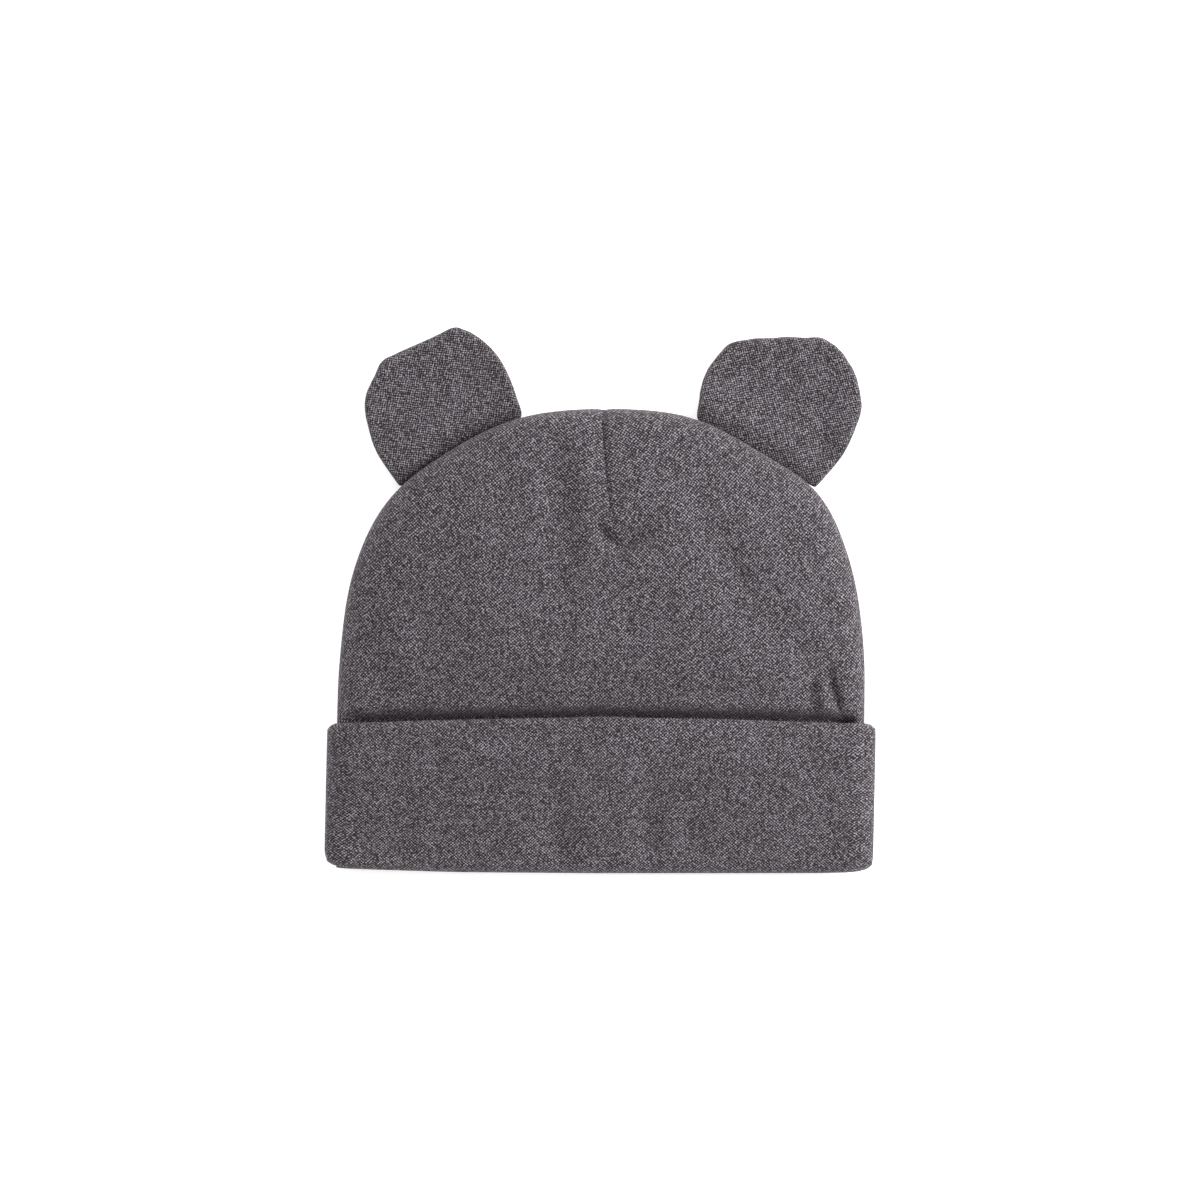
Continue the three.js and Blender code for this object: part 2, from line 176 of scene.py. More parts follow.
# How an ear's knit is turned, in degrees, how far below the seam its base comes out, where its edge
# curls up off the surface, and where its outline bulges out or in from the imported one.
EARS = {
    "ear_left": {
        "knit_turn": 36,
        "base_drop": 3.2,
        "curls": [{"x": -32, "y": 78, "turn": 120, "along": 12, "across": 5, "height": 2.5}],
        "bulges": [
            {"x": -75, "y": 82, "reach": 4, "out": 1.3},
            {"x": -81, "y": 68, "reach": 7, "out": 0.8},
            {"x": -51, "y": 94, "reach": 3, "out": 0.6},
            {"x": -28, "y": 65, "reach": 4, "out": 0.6},
        ],
    },
    "ear_right": {
        "knit_turn": -30,
        "base_drop": 0.8,
        "curls": [
            {"x": 86, "y": 53, "turn": 60, "along": 10, "across": 6, "height": 4.0},
            {"x": 76, "y": 53, "turn": 70, "along": 9, "across": 3.2, "height": -1.8},
        ],
        "bulges": [
            {"x": 35, "y": 63, "reach": 4.5, "out": 1.3},
            {"x": 45, "y": 88, "reach": 4.5, "out": 1.3},
            {"x": 59, "y": 90, "reach": 5, "out": -0.7},
            {"x": 76, "y": 90, "reach": 4, "out": 1.2},
            {"x": 85, "y": 83, "reach": 4, "out": -0.6},
            {"x": 90, "y": 66, "reach": 5, "out": 0.6},
        ],
    },
}


# ---- Lines, distances and heights ---------------------------------------------------------------


def box_mm(node):
    low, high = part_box(node)
    return np.array(low) / MM, np.array(high) / MM


def plan_outline(node):
    """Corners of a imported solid's outline seen from above, counter-clockwise."""
    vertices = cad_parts[node].data.vertices
    corners = np.empty(len(vertices) * 3, np.float32)
    vertices.foreach_get("co", corners)
    flat = corners.reshape(-1, 3)[:, :2].astype(float) / MM
    hull = flat[convex_hull_2d([Vector(p) for p in flat])]
    x, y = hull.T
    area = np.sum(x * np.roll(y, -1) - y * np.roll(x, -1))
    return hull if area > 0 else hull[::-1]


def lengths_along(line):
    steps = np.linalg.norm(np.diff(line, axis=0), axis=1)
    return np.concatenate([[0], np.cumsum(steps)])


def evenly_spaced(line, spacing, closed):
    """The same line, through points that are spacing apart."""
    line = np.vstack([line, line[:1]]) if closed else line
    along = lengths_along(line)
    at = np.linspace(0, along[-1], round(along[-1] / spacing) + 1)
    at = at[:-1] if closed else at
    return np.stack([np.interp(at, along, values) for values in line.T], 1)


def softened(line, reach, closed):
    """A line of evenly spaced points with its corners rounded over reach of them."""
    n = round(4 * reach)
    if closed:
        longer = np.concatenate([line[-n:], line, line[:n]])
    else:
        before = 2 * line[0] - line[n:0:-1]
        after = 2 * line[-1] - line[-2 : -n - 2 : -1]
        longer = np.concatenate([before, line, after])
    weights = np.exp(-0.5 * (np.arange(-n, n + 1) / reach) ** 2)
    weights /= weights.sum()
    return np.stack([np.convolve(values, weights, "valid") for values in longer.T], 1)


def inward_of(line, closed):
    """Unit directions to the left of a counter-clockwise line, which point inwards."""
    if closed:
        tangent = np.roll(line, -1, axis=0) - np.roll(line, 1, axis=0)
    else:
        tangent = np.gradient(line, axis=0)
    tangent /= np.linalg.norm(tangent, axis=1)[:, None]
    return np.stack([-tangent[:, 1], tangent[:, 0]], 1)


def tree_of(points):
    tree = KDTree(len(points))
    for i, (x, y) in enumerate(points):
        tree.insert((x, y, 0), i)
    tree.balance()
    return tree


class Edge:
    """A line that knows how far inside it a point lies."""

    def __init__(self, line, closed):
        self.line = line
        self.inward = inward_of(line, closed)
        self.tree = tree_of(line)

    def nearest(self, points):
        return np.array([self.tree.find((x, y, 0))[1] for x, y in points])

    def depth(self, points):
        near = self.nearest(points)
        return np.einsum("ij,ij->i", points - self.line[near], self.inward[near])

    def inset(self, distance):
        return self.line + self.inward * distance


def smoothstep(x, low, high):
    t = np.clip((x - low) / (high - low), 0, 1)
    return t * t * (3 - 2 * t)


def mix(a, b, share):
    return a + (b - a) * share


def dome(d):
    """0 at the seam, 1 in the middle of the hat."""
    return 1 - (1 - np.clip(d / DOME_REACH, 0, 1)) ** DOME_POWER


def corner_cut(from_end, radius):
    """How far a round corner stays inside a square one, at a distance from the end."""
    return radius - np.sqrt(radius**2 - np.clip(radius - from_end, 0, radius) ** 2)


def roll(d, radius):
    """A quarter circle: 0 at the seam, radius once d is radius or more."""
    return np.sqrt(radius**2 - (radius - np.clip(d, 0, radius)) ** 2)


def fold_height(folds, points):
    total = np.zeros(len(points))
    for f in folds:
        turn = math.radians(f["turn"])
        dx, dy = points[:, 0] - f["x"], points[:, 1] - f["y"]
        along = (dx * math.cos(turn) + dy * math.sin(turn)) / f["along"]
        across = (dy * math.cos(turn) - dx * math.sin(turn)) / f["across"]
        total += f["height"] * np.exp(-(along**2) - across**2)
    return total


def slack_height(points, height, shortest, longest, seed):
    """Soft random waves with wavelengths between the two lengths."""
    random = np.random.default_rng(seed)
    total = np.zeros(len(points))
    for _ in range(WAVE_COUNT):
        angle, phase = random.uniform(0, 2 * math.pi, 2)
        wave = 2 * math.pi / random.uniform(shortest, longest)
        total += np.sin(wave * (points @ [math.cos(angle), math.sin(angle)]) + phase)
    return height * total / math.sqrt(WAVE_COUNT / 2)


def column(table, name):
    return [row[name] for row in table]


# ---- The crown's and the cuff's outlines --------------------------------------------------------

FRONT_LOW, FRONT_HIGH = box_mm("crown_front")
BACK_HIGH = box_mm("crown_back")[1]
CUFF_LOW, CUFF_HIGH = box_mm("cuff")
SEAM_Z = (FRONT_LOW[2] + BACK_HIGH[2]) / 2
MOUTH_END = CUFF_LOW[1]
CUFF_TOP = CUFF_HIGH[1] - CUFF_EDGE_DROP
CUFF_MIDDLE = (MOUTH_END + CUFF_TOP) / 2
CROWN_END = FRONT_LOW[1] + FOLD_ROOM
CUFF_LIFT = CUFF_CLOTH + CUFF_SLACK[0]  # how far the cuff under it lifts the back panel


def crown_seam():
    """The crown's seam, from the mouth's right end over the top to its left end."""
    outline = plan_outline("crown_front")
    above = outline[outline[:, 1] > CUFF_MIDDLE]
    angle = np.arctan2(above[:, 1] - CUFF_MIDDLE, above[:, 0])
    half = np.abs(outline[outline[:, 1] <= CUFF_MIDDLE, 0]).max()
    corners = np.vstack([[half, CROWN_END], above[np.argsort(angle)], [-half, CROWN_END]])
    line = softened(evenly_spaced(corners, SEAM_STEP, False), SEAM_SOFTNESS, False)
    notch = np.exp(-(((line[:, 0] - TOP_NOTCH["x"]) / TOP_NOTCH["half_width"]) ** 2))
    notch *= line[:, 1] > 0
    return line - np.outer(notch * TOP_NOTCH["depth"], [0, 1])


SEAM = Edge(crown_seam(), False)
CROWN_HALF = SEAM.line[0, 0]

CUFF_OUTLINE = plan_outline("cuff")


def cuff_end_at(x, above):
    """Place along Y of the cuff's free edge (above) or of its fold."""
    side = CUFF_OUTLINE[(CUFF_OUTLINE[:, 1] > CUFF_MIDDLE) == above]
    side = side[np.argsort(side[:, 0])]
    return np.interp(x, side[:, 0], side[:, 1])


def in_crown(points, d):
    """0 at the seam and under the cuff, 1 where the front panel is free to fold."""
    above_cuff = smoothstep(points[:, 1], CUFF_TOP, CUFF_TOP + STEP_LENGTH)
    return smoothstep(d, 0, FREE_DEPTH) * above_cuff


def dart_across(points):
    """Distance to the right of the dart's line."""
    return points[:, 0] - np.interp(points[:, 1], column(DART, "y"), column(DART, "x"))


def dart_height(points):
    y = points[:, 1]
    depth = np.interp(y, column(DART, "y"), column(DART, "depth"))
    depth *= smoothstep(y, DART[0]["y"] - 3, DART[0]["y"] + 1)
    return -depth * np.exp(-np.abs(dart_across(points)) / DART_HALF_WIDTH)


def sag(y):
    """How far the front sags towards the mouth."""
    below = np.clip(CUFF_TOP - SAG_START - y, 0, None)
    return SAG_SLOPE * below**2 / (below + SAG_BEND)


def cuff_relief(points, d):
    """Folds and slack of the cuff's front, which the crown's wall inside it follows."""
    y = points[:, 1]
    free = smoothstep(d, 0, FREE_DEPTH) * smoothstep(CUFF_TOP - y, 4, 8)
    free *= smoothstep(y, MOUTH_END + FOLD_DEPTH, MOUTH_END + FOLD_DEPTH + 5)
    return free * (fold_height(CUFF_FOLDS, points) + slack_height(points, *CUFF_WAVES))


def cuff_dip(points, d):
    from_edge = points[:, 1] - cuff_end_at(points[:, 0], True) - 0.2
    dip = np.exp(-((from_edge / CUFF_DIP_LENGTH) ** 2))
    return -CUFF_DIP * dip * smoothstep(d, 0.5, FREE_DEPTH)


def dome_rise(points, d):
    swell = smoothstep(points[:, 1], CUFF_TOP, CUFF_TOP + SWELL_LENGTH)
    relief = CUFF_STEP + fold_height(CROWN_FOLDS, points) + slack_height(points, *CROWN_WAVES)
    domed = dome(d) * (mix(CUFF_RISE, CROWN_RISE, swell) - sag(points[:, 1]))
    return domed + relief * in_crown(points, d) + cuff_relief(points, d) + cuff_dip(points, d)


def front_rise(points, d, inset):
    """Height of the front panel above the seam, on a face that lies inset inside the outer one."""
    radius = FRONT_ROLL - inset
    edge = SEAM_TUCK if inset == 0 else 0
    rolled = edge + roll(d - inset, radius) * (radius - edge) / radius
    crease = dart_height(points) * smoothstep(d, -0.5, 1.5) if inset == 0 else 0
    return rolled + dome_rise(points, d) + crease


def back_rise(points, d, inset):
    """Depth of the back panel below the seam, where it lies on the surface or on the cuff."""
    on_surface = smoothstep(points[:, 1], CUFF_TOP, CUFF_TOP + BACK_LIFT_LENGTH)
    radius = SEAM_Z - CUFF_LIFT * (1 - on_surface) - inset
    edge = SEAM_TUCK if inset == 0 else 0
    return edge + roll(d - inset, radius) * (radius - edge) / radius


# ---- Meshes --------------------------------------------------------------------------------------


def triangular_grid(low, high, spacing):
    rows = np.arange(low[1], high[1], spacing * math.sqrt(3) / 2)
    points = []
    for k, y in enumerate(rows):
        x = np.arange(low[0] + (k % 2) * spacing / 2, high[0], spacing)
        points.append(np.stack([x, np.full(len(x), y)], 1))
    return np.vstack(points)


def filled(border, layers):
    """Points and triangles that fill a closed border. The border's points come first. A layer is a
    set of points and the least gap that they keep to the points before them."""
    points = border
    for loose, gap in layers:
        taken = tree_of(points)
        far = [taken.find((x, y, 0))[2] > gap for x, y in loose]
        points = np.vstack([points, loose[far]])
    count = len(border)
    sides = [(i, (i + 1) % count) for i in range(count)]
    made = delaunay_2d_cdt([Vector(p) for p in points], sides, [], 1, 1e-7)
    if len(made[0]) != len(points):
        raise ValueError("two points of a net lie on each other")
    return points, np.array(made[2])


def roll_steps(radius, count):
    """Distances from an edge at which its quarter circle is cut into equal arcs."""
    return radius * (1 - np.cos(np.linspace(0, math.pi / 2, count + 1)[1:]))


def make_piece(name, corners, faces, knit):
    """A smooth mesh. knit has the place on the flat cloth of each corner of each face."""
    mesh = bpy.data.meshes.new(name)
    mesh.from_pydata((corners * MM).tolist(), [], faces)
    mesh.uv_layers.new(name="knit").data.foreach_set("uv", knit.astype(np.float32).ravel())
    mesh.validate()
    mesh.shade_smooth()
    piece = bpy.data.objects.new(name, mesh)
    bpy.context.scene.collection.objects.link(piece)
    return piece


def strip(first, second):
    """Quads between two rings of corners, facing outwards where the second is below the first."""
    return [(first[i - 1], second[i - 1], second[i], first[i]) for i in range(len(first))]


def unrolled(points, d, inward, radius):
    """Where points near a rolled edge lie on the flat cloth: further out than they seem from above."""
    inside = np.clip(d, 0, radius)
    extra = radius * (math.pi / 2 - np.arccos(1 - inside / radius)) - (radius - inside)
    return points - inward * extra[:, None]


def round_the_dart(points, left):
    """Turns the knit towards the dart above its end. left says on which side of it a corner is."""
    tip = np.array([DART[0]["x"], DART[0]["y"]])
    x, y = (points - tip).T
    angle = np.degrees(np.arctan2(x, -y))
    angle = np.where(left & (angle > 90), angle - 360, angle)
    angle = np.where(~left & (angle < -90), angle + 360, angle)
    flat = np.radians(angle * (1 - DART_TURN / 180 * np.abs(angle) / 180))
    return tip + np.hypot(x, y)[:, None] * np.stack([np.sin(flat), -np.cos(flat)], 1)


def crown_border(radius, spacing):
    """The seam, and then the mouth's straight end from left to right, with points close together
    where the edge rolls."""
    insets = roll_steps(radius, ROLL_RINGS)
    across = np.concatenate([insets, np.arange(radius + spacing, CROWN_HALF, spacing)])
    mouth_x = np.concatenate([across - CROWN_HALF, [0], (CROWN_HALF - across)[::-1]])
    return np.vstack([SEAM.line, np.stack([mouth_x, np.full(len(mouth_x), CROWN_END)], 1)])


def seam_rings(insets):
    return np.vstack([SEAM.inset(d)[1:-1] for d in insets])


def crown_grid(radius, spacing):
    """Points on the middle of a panel, inside its rolled edge."""
    low = [-CROWN_HALF, CROWN_END + spacing / 2]
    grid = triangular_grid(low, FRONT_HIGH[:2], spacing)
    return grid[SEAM.depth(grid) > radius]


def tucked_rings(outer_border, inner_border):
    """Rings between the borders of a panel's two faces. They turn in to the seam, and at the mouth
    they lie part of the way from one face to the other."""
    last = math.radians(TUCK_TURNS[-1])
    on_seam = len(SEAM.line)
    rings = []
    for turn in TUCK_TURNS:
        angle = math.radians(turn)
        d = SEAM_GROOVE * (1 - math.cos(angle)) / (1 - math.cos(last))
        z = SEAM_TUCK * (1 - math.sin(angle) / math.sin(last)) + SEAM_GAP
        ring = mix(outer_border, inner_border, turn / 100)
        ring[:on_seam] = np.column_stack([SEAM.inset(d), np.full(on_seam, z)])
        rings.append(ring)
    return rings


def crown_knit(points, faces, side, radius):
    """Where each corner of each face lies on the flat cloth."""
    cloth = unrolled(points, SEAM.depth(points), SEAM.inward[SEAM.nearest(points)], radius)
    cloth = cloth[np.concatenate(faces)]
    if side < 0:
        return cloth * [-1, 1]
    sizes = [len(f) for f in faces]
    middle = np.repeat([dart_across(points[list(f)]).mean() for f in faces], sizes)
    return round_the_dart(cloth, middle < 0)


def crown_panel(name, side, rise, radius, spacing, lines):
    """A closed crown panel: its outer face, the turned-in edge, and its inner face. side is 1 for the
    front and -1 for the back."""
    border = crown_border(radius, spacing)
    on_seam = len(SEAM.line)
    rings = seam_rings(roll_steps(radius, ROLL_RINGS))
    grid = crown_grid(radius, spacing)
    outer, outer_faces = filled(border, [*lines, (rings, ROLL_GAP), (grid, NET_GAP * spacing)])

    mouth = border[on_seam:]
    inner_border = np.vstack([SEAM.inset(CLOTH), mouth * [1 - CLOTH / CROWN_HALF, 1]])
    rings = seam_rings(CLOTH + roll_steps(radius - CLOTH, INNER_RINGS))
    grid = crown_grid(radius, INNER_NET)
    inner, inner_faces = filled(inner_border, [(rings, INNER_RING_GAP), (grid, INNER_GAP)])

    outer = np.column_stack([outer, rise(outer, SEAM.depth(outer), 0)])
    inner = np.column_stack([inner, rise(inner, SEAM.depth(inner), CLOTH)])
    inner[:on_seam, 2] = SEAM_GAP
    count = len(border)
    tucks = tucked_rings(outer[:count], inner[:count])

    corners = np.vstack([outer, *tucks, inner])
    starts = [0, *(len(outer) + k * count for k in range(len(tucks) + 1))]
    faces = [tuple(f) for f in outer_faces]
    for first, second in zip(starts, starts[1:]):
        faces += strip(range(first, first + count), range(second, second + count))
    faces += [tuple(f[::-1]) for f in inner_faces + starts[-1]]
    if side < 0:
        faces = [f[::-1] for f in faces]
    knit = crown_knit(corners[:, :2], faces, side, radius)
    corners[:, 2] = SEAM_Z + side * corners[:, 2]
    return make_piece(name, corners, faces, knit)


def dart_lines():
    """Rows of points along the dart, close together across it."""
    y = np.arange(DART[0]["y"] - 2, FRONT_HIGH[1] - 0.2, DART_ROW_STEP)
    x = np.interp(y, column(DART, "y"), column(DART, "x"))
    points = np.vstack([np.stack([x + offset, y], 1) for offset in DART_ROWS])
    return points[SEAM.depth(points) > 0.15]


def crown_section():
    """The crown's section inside the cuff, as a closed loop of (x, z)."""
    x = CROWN_HALF * np.cos(np.linspace(0, math.pi, 600))
    depth = CROWN_HALF - np.abs(x)
    front = np.stack([x, SEAM_Z + roll(depth, FRONT_ROLL) + CUFF_RISE * dome(depth)], 1)
    back = np.stack([-x, SEAM_Z - roll(depth, SEAM_Z - CUFF_LIFT)], 1)
    loop = np.vstack([front[:-1], back[:-1]])
    return softened(evenly_spaced(loop, CUFF_ROUND_STEP, True), CUFF_SOFTNESS, True)


def cuff_rows(slack, face, foot, shoulder):
    """The cuff's own section, as rows of (distance out from the crown, place along Y): down inside
    the crown, round the fold, up the outside, over the free edge, down to the fold again and up to
    where it began. The last number of each step is how many rows it has."""
    inside = np.full(len(slack), -CLOTH - 0.1)
    cavity = inside - TONGUE
    tongue_end = foot + TONGUE_LENGTH
    rows = []

    def straight(out_a, y_a, out_b, y_b, count):
        for share in np.arange(count) / count:
            rows.append((mix(out_a, out_b, share), mix(y_a, y_b, share)))

    def arc(out, y, out_radius, y_radius, start, end, count):
        for angle in np.radians(mix(start, end, np.arange(count) / count)):
            rows.append((out + out_radius * math.cos(angle), y + y_radius * math.sin(angle)))

    straight(cavity, tongue_end, cavity, foot, 10)
    arc((face + cavity) / 2, foot, (face - cavity) / 2, FOLD_DEPTH, 180, 360, 16)
    straight(face, foot, face, shoulder, 46)
    arc(face - CUFF_CLOTH / 2, shoulder, CUFF_CLOTH / 2, CUFF_EDGE_DEPTH, 0, 180, 11)
    straight(slack, shoulder, slack, foot, 12)
    straight(slack, foot, inside, foot, 3)
    straight(inside, foot, inside, tongue_end, 5)
    arc((inside + cavity) / 2, tongue_end, TONGUE / 2, TONGUE / 2, 0, 180, 4)
    return rows


def cuff_corners():
    """The cuff's corners in rows round the hat, and the loop that the rows follow."""
    loop = crown_section()
    x, z = loop.T
    outward = -inward_of(loop, True)
    sideways = np.abs(outward[:, 0])
    over = np.clip(outward[:, 1], 0, 1)  # 1 on the front of the cuff
    slack = mix(CUFF_SLACK[0], CUFF_SLACK[1], sideways**4)
    face = slack + CUFF_CLOTH
    fold, top = cuff_end_at(x, False), cuff_end_at(x, True)
    groove = CUFF_SEAM_GROOVE * np.exp(-(((z - SEAM_Z) / CUFF_SEAM_WIDTH) ** 2)) * (sideways > 0.5)
    fold_share = np.where(x < 0, *FOLD_CORNER_SHARE)

    lines = []
    for out, y in cuff_rows(slack, face, fold + FOLD_DEPTH, top - CUFF_EDGE_DEPTH):
        near_top = np.clip(y - top + CUFF_LEAN_LENGTH, 0, None) / CUFF_LEAN_LENGTH
        leaning = over * CUFF_EDGE_LEAN * near_top**1.5
        out = out - leaning * (out > slack) - groove * (out > face - 0.01)
        pressed = CUFF_CORNER_PRESS * corner_cut(top - y, CUFF_CORNER) / CUFF_CORNER * sideways**2
        out = np.where(out > 0, mix(out, CUFF_SLACK[0], pressed), out)
        cut = corner_cut(y - fold, FOLD_CORNER) * fold_share * sideways**2
        out = np.where(out > 0, np.maximum(out - cut, 0), out)
        at_x, at_z = (loop + outward * out[:, None]).T
        depth = CROWN_HALF - np.abs(x)
        moved = cuff_relief(np.stack([x, y], 1), depth) - sag(y) * dome(depth)
        at_x = at_x + CUFF_LEAN * (y - CUFF_MIDDLE) * sideways
        at_z = at_z + moved * (z > SEAM_Z)
        lines.append(np.column_stack([at_x, y, np.maximum(at_z, 0)]))
    return np.stack(lines, 1), loop


def make_cuff():
    """One closed band round the crown's lower end."""
    corners, loop = cuff_corners()
    count, size = corners.shape[:2]
    around = np.arange(count + 1) * (WALE * round(lengths_along(loop)[-1] / WALE) / count)
    up = lengths_along(np.vstack([corners[count // 4], corners[count // 4][:1]]))
    faces, knit = [], []
    for i in range(count):
        this, following = i * size, (i + 1) % count * size
        for k in range(size):
            above = (k + 1) % size
            faces.append((this + k, this + above, following + above, following + k))
            knit += [(around[i], up[k]), (around[i], up[k + 1])]
            knit += [(around[i + 1], up[k + 1]), (around[i + 1], up[k])]
    return make_piece("cuff_band", corners.reshape(-1, 3), faces, np.array(knit))


def ear_outline(node, bulges):
    """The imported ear's outline, but with its base only a little way inside the crown's seam."""
    line = evenly_spaced(plan_outline(node), EAR_STEP, True)
    too_deep = np.clip(SEAM.depth(line) - EAR_CAUGHT, 0, None)
    line = line - SEAM.inward[SEAM.nearest(line)] * too_deep[:, None]
    line = softened(evenly_spaced(line, EAR_STEP, True), EAR_SOFTNESS, True)
    for bulge in bulges:
        away = np.hypot(line[:, 0] - bulge["x"], line[:, 1] - bulge["y"])
        out = bulge["out"] * np.exp(-((away / bulge["reach"]) ** 2))
        line = line - inward_of(line, True) * out[:, None]
    return line


def ear_heights(points, depth, base_drop, curls):
    """Heights of an ear's upper and lower layers, on the surface or going up to the seam."""
    from_seam = -SEAM.depth(points)
    middle = mix(SEAM_Z, EAR_HALF, smoothstep(from_seam, 0, EAR_DROOP))
    middle -= base_drop * np.exp(-np.clip(from_seam, 0, None) / EAR_DROP_LENGTH)
    middle += fold_height(curls, points)
    middle += slack_height(points, *EAR_WAVES) * smoothstep(from_seam, 2, 12)
    puffed = mix(EAR_BASE_HALF, EAR_HALF, smoothstep(from_seam, 0, EAR_PUFF_LENGTH))
    half = puffed * roll(depth + 0.05, EAR_HALF) / EAR_HALF
    return middle + half, np.maximum(middle - half, 0.0)


def make_ear(node, knit_turn, base_drop, curls, bulges):
    """A flat bag of two layers, thin where its base goes into the crown's seam."""
    outline = ear_outline(node, bulges)
    edge = Edge(outline, True)
    insets = roll_steps(EAR_HALF, EAR_RINGS)
    rings = np.vstack([edge.inset(d) for d in insets])
    rings = rings[edge.depth(rings) > 0.9 * insets[0]]
    grid = triangular_grid(outline.min(0), outline.max(0), EAR_NET)
    grid = grid[edge.depth(grid) > EAR_HALF]
    points, faces = filled(outline, [(rings, EAR_RING_GAP), (grid, EAR_GAP)])
    depth = edge.depth(points)

    upper_z, lower_z = ear_heights(points, depth, base_drop, curls)
    count, border = len(points), len(outline)
    groove_z = (upper_z[:border] + lower_z[:border]) / 2
    flat = np.vstack([points, points, edge.inset(EAR_EDGE_SEAM)])
    corners = np.column_stack([flat, np.concatenate([upper_z, lower_z, groove_z])])
    upper_ring, lower_ring = range(border), range(count, count + border)
    groove_ring = range(2 * count, 2 * count + border)
    all_faces = [tuple(f) for f in faces] + [tuple(f[::-1]) for f in faces + count]
    all_faces += strip(upper_ring, groove_ring) + strip(groove_ring, lower_ring)

    turn = math.radians(knit_turn)
    axes = np.array([[math.cos(turn), -math.sin(turn)], [math.sin(turn), math.cos(turn)]])
    face_cloth = unrolled(points, depth, edge.inward[edge.nearest(points)], EAR_HALF)
    groove_cloth = face_cloth[:border] - edge.inward * EAR_EDGE_SEAM
    cloth = np.vstack([face_cloth, face_cloth, groove_cloth])
    return make_piece(node + "_cloth", corners, all_faces, cloth[np.concatenate(all_faces)] @ axes)


# ---- The jersey ----------------------------------------------------------------------------------


DARK_FIBRE = (0.007, 0.004, 0.005, 1)
LIGHT_FIBRE = (0.242, 0.224, 0.250, 1)
# The cloth's tone, from dark to light, is a sum of layers, each moving it by one of these shares. The
# first is painted shade between the loops and painted light on their tops; the others are the
# melange's own random tone.
PAINTED_LOOP_SHADE, EACH_LOOP, FIBRES, YARN, PATCHES = 2.0, 1.1, 2.2, 2.4, 0.3
TONE_CONTRAST, TONE_MIDDLE, TONE_POWER = 0.295, 0.37, 2.2  # from that sum to a share of light fibre
FIBRES_PER_MM, YARNS_PER_MM, PATCHES_PER_MM = 2.4, 1.6, 0.05
WANDER, WANDERS_PER_MM = 0.9, 0.35  # how far the loops stray from even rows
YARN_STRETCH = 0.8  # the yarn's pattern is wider across the wales by 1 over this
LOOP_HEIGHT = 0.16  # of the relief between loops
ROUGHNESS, LOOP_ROUGHNESS = 0.88, 0.08  # the least, and how much a loop may add
SHEEN_TINT = (1.0, 0.86, 0.93, 1)


class Nodes:
    """Short names for the nodes of a material."""

    def __init__(self, material):
        material.use_nodes = True
        self.tree = material.node_tree
        self.tree.nodes.clear()

    def add(self, kind, inputs=(), **settings):
        node = self.tree.nodes.new("ShaderNode" + kind)
        for key, value in settings.items():
            setattr(node, key, value)
        for key, value in dict(inputs).items():
            if isinstance(value, bpy.types.NodeSocket):
                self.tree.links.new(value, node.inputs[key])
            else:
                node.inputs[key].default_value = value
        return node

    def math(self, operation, *values):
        return self.add("Math", dict(enumerate(values)), operation=operation).outputs[0]

    def vector_math(self, operation, *values):
        return self.add("VectorMath", dict(enumerate(values)), operation=operation).outputs[0]

    def noise(self, place, scale, detail):
        inputs = {"Vector": place, "Scale": scale, "Detail": detail, "Roughness": 0.5}
        return self.add("TexNoise", inputs, noise_dimensions="2D")

    def mixed_colour(self, share, first, second):
        # a colour Mix node takes its colours at sockets 6 and 7, and gives the mix at 2
        inputs = {0: share, 6: first, 7: second}
        return self.add("Mix", inputs, data_type="RGBA", clamp_factor=True).outputs[2]


def around_zero(n, value, amount):
    """A value from 0 to 1, moved and scaled to lie evenly round 0."""
    return n.math("MULTIPLY", n.math("SUBTRACT", value, 0.5), amount)


def loop_pattern(n, cloth):
    """Rows of loops: a wave that is 1 on a loop and -1 between loops, and a random value for each."""
    wander = n.noise(cloth, WANDERS_PER_MM, 2).outputs["Color"]
    wander = n.vector_math("SUBTRACT", wander, (0.5, 0.5, 0.5))
    wander = n.vector_math("MULTIPLY", wander, (WANDER, WANDER, 0))
    place = n.add("SeparateXYZ", {0: n.vector_math("ADD", cloth, wander)})
    wale = n.math("DIVIDE", place.outputs[0], WALE)
    course = n.math("DIVIDE", place.outputs[1], COURSE)
    across = n.math("COSINE", n.math("MULTIPLY", wale, 2 * math.pi))
    along = n.math("COSINE", n.math("MULTIPLY", course, 2 * math.pi))

    # loops of every other half wale are half a course lower
    half_wale = n.math("ROUND", n.math("MULTIPLY", wale, 2.0))
    odd = n.math("MODULO", n.math("ABSOLUTE", half_wale), 2.0)
    row = n.math("ROUND", n.math("SUBTRACT", course, n.math("MULTIPLY", odd, 0.5)))
    loop_id = n.add("CombineXYZ", {0: half_wale, 1: row}).outputs[0]
    each = n.add("TexWhiteNoise", {"Vector": loop_id}, noise_dimensions="2D").outputs["Value"]
    return n.math("MULTIPLY", across, along), each


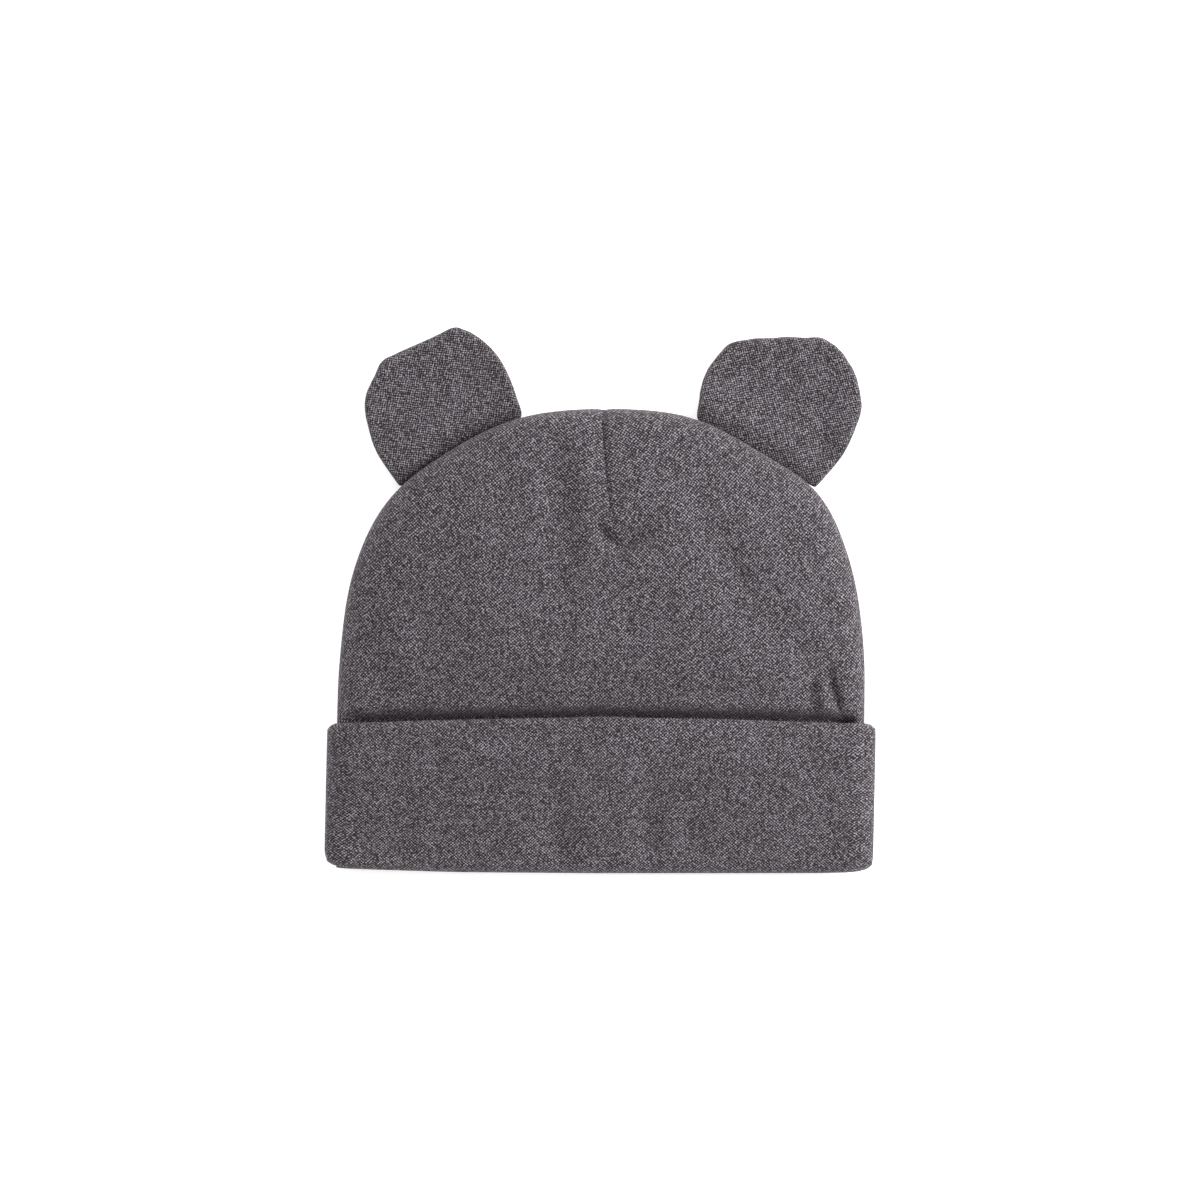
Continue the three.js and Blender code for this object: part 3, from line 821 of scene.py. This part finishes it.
def jersey():
    """Grey melange interlock: rows of small loops from dark brown and pale cool fibres, with painted
    shade between the loops and painted light on their tops.
    """
    material = bpy.data.materials.new("jersey")
    n = Nodes(material)
    cloth = n.add("UVMap", uv_map="knit").outputs[0]
    loops, each_loop = loop_pattern(n, cloth)

    specks = {"Vector": cloth, "Scale": FIBRES_PER_MM}
    specks = n.add("TexVoronoi", specks, voronoi_dimensions="2D").outputs["Color"]
    fibres = n.add("SeparateColor", {0: specks}).outputs[0]
    stretched = n.vector_math("MULTIPLY", cloth, (YARN_STRETCH, 1.0, 1.0))
    yarn = n.noise(stretched, YARNS_PER_MM, 0).outputs[0]
    patches = n.noise(cloth, PATCHES_PER_MM, 3).outputs[0]

    # painted shade between the loops and painted light on their tops
    tone = n.math("MULTIPLY", loops, PAINTED_LOOP_SHADE)
    layers = ((each_loop, EACH_LOOP), (fibres, FIBRES), (yarn, YARN), (patches, PATCHES))
    for layer, amount in layers:
        tone = n.math("ADD", tone, around_zero(n, layer, amount))
    tone = n.math("MULTIPLY_ADD", tone, TONE_CONTRAST, TONE_MIDDLE)
    light = n.math("POWER", n.math("MAXIMUM", tone, 0.0), TONE_POWER)
    colour = n.mixed_colour(light, DARK_FIBRE, LIGHT_FIBRE)

    height = n.math("ADD", n.math("MULTIPLY", loops, 0.5), around_zero(n, each_loop, 0.3))
    bump = n.add("Bump", {"Strength": 0.8, "Distance": LOOP_HEIGHT * MM, "Height": height})
    shading = {
        "Base Color": colour,
        "Roughness": n.math("MULTIPLY_ADD", each_loop, LOOP_ROUGHNESS, ROUGHNESS),
        "Normal": bump.outputs[0],
        "Specular IOR Level": 0.25,
        "Sheen Weight": 0.15,
        "Sheen Roughness": 0.5,
        "Sheen Tint": SHEEN_TINT,
    }
    shader = n.add("BsdfPrincipled", shading)
    n.add("OutputMaterial", {"Surface": shader.outputs[0]})
    return material


# ---- The hat -------------------------------------------------------------------------------------

dart = [(dart_lines(), DART_GAP)]
crown_front = crown_panel("crown_front_cloth", 1, front_rise, FRONT_ROLL, FRONT_NET, dart)
crown_back = crown_panel("crown_back_cloth", -1, back_rise, SEAM_Z, BACK_NET, [])
cuff = make_cuff()
ears = {node: make_ear(node, **facts) for node, facts in EARS.items()}

cloth = jersey()
stands_for = {"crown_front": crown_front, "crown_back": crown_back, "cuff": cuff, **ears}
for node, piece in stands_for.items():
    piece.data.materials.append(cloth)
    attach(piece, "root")
    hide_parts(node)


# ---- Floor, light and camera ---------------------------------------------------------------------

# Here lengths are in metres.
FLOOR_BELOW = 0.0002  # under the hat, so that their surfaces don't coincide
FLOOR_HALF = 3.0
FLOOR_GLOW = 0.45  # the floor gives off a little light, so that it is as white as the photo's
VIEW_WIDTH = 0.41304
CAMERA_DISTANCE = 2.0
HAT_MIDDLE = 0.010  # height at which the view is that wide, at that distance from the camera


def make_floor():
    half, z = FLOOR_HALF, -FLOOR_BELOW
    corners = [(-half, -half, z), (half, -half, z), (half, half, z), (-half, half, z)]
    mesh = bpy.data.meshes.new("floor")
    mesh.from_pydata(corners, [], [(0, 1, 2, 3)])
    floor = bpy.data.objects.new("floor", mesh)
    bpy.context.scene.collection.objects.link(floor)
    material = bpy.data.materials.new("floor")
    n = Nodes(material)
    shading = {
        "Base Color": (0.9, 0.9, 0.9, 1),
        "Roughness": 0.9,
        "Specular IOR Level": 0.1,
        "Emission Color": (1, 1, 1, 1),
        "Emission Strength": FLOOR_GLOW,
    }
    shader = n.add("BsdfPrincipled", shading)
    n.add("OutputMaterial", {"Surface": shader.outputs[0]})
    mesh.materials.append(material)


def area_light(name, place, size, power):
    data = bpy.data.lights.new(name, "AREA")
    data.shape = "SQUARE"
    data.size = size
    data.energy = power
    light = bpy.data.objects.new(name, data)
    light.location = place
    light.rotation_mode = "QUATERNION"
    light.rotation_quaternion = (-Vector(place)).to_track_quat("-Z", "Y")
    bpy.context.scene.collection.objects.link(light)


def white_world(strength):
    world = bpy.data.worlds.new("studio")
    world.use_nodes = True
    background = world.node_tree.nodes["Background"]
    background.inputs["Color"].default_value = (1, 1, 1, 1)
    background.inputs["Strength"].default_value = strength
    bpy.context.scene.world = world


def camera_above():
    """A camera that looks straight down, as the photo's did."""
    data = bpy.data.cameras.new("camera")
    data.sensor_width = 36
    data.lens = data.sensor_width * CAMERA_DISTANCE / VIEW_WIDTH
    data.clip_start, data.clip_end = 0.05, 50
    camera = bpy.data.objects.new("camera", data)
    camera.location = (0, 0, CAMERA_DISTANCE + HAT_MIDDLE)
    bpy.context.scene.collection.objects.link(camera)
    bpy.context.scene.camera = camera


make_floor()
white_world(strength=0.84)
area_light("key", place=(1.2, 0.35, 0.85), size=0.9, power=33)
area_light("fill", place=(-0.8, 1.1, 1.1), size=1.2, power=12)
camera_above()
bpy.context.scene.view_settings.view_transform = "Standard"
bpy.context.scene.cycles.denoising_prefilter = "NONE"  # the loops are as small as pixels
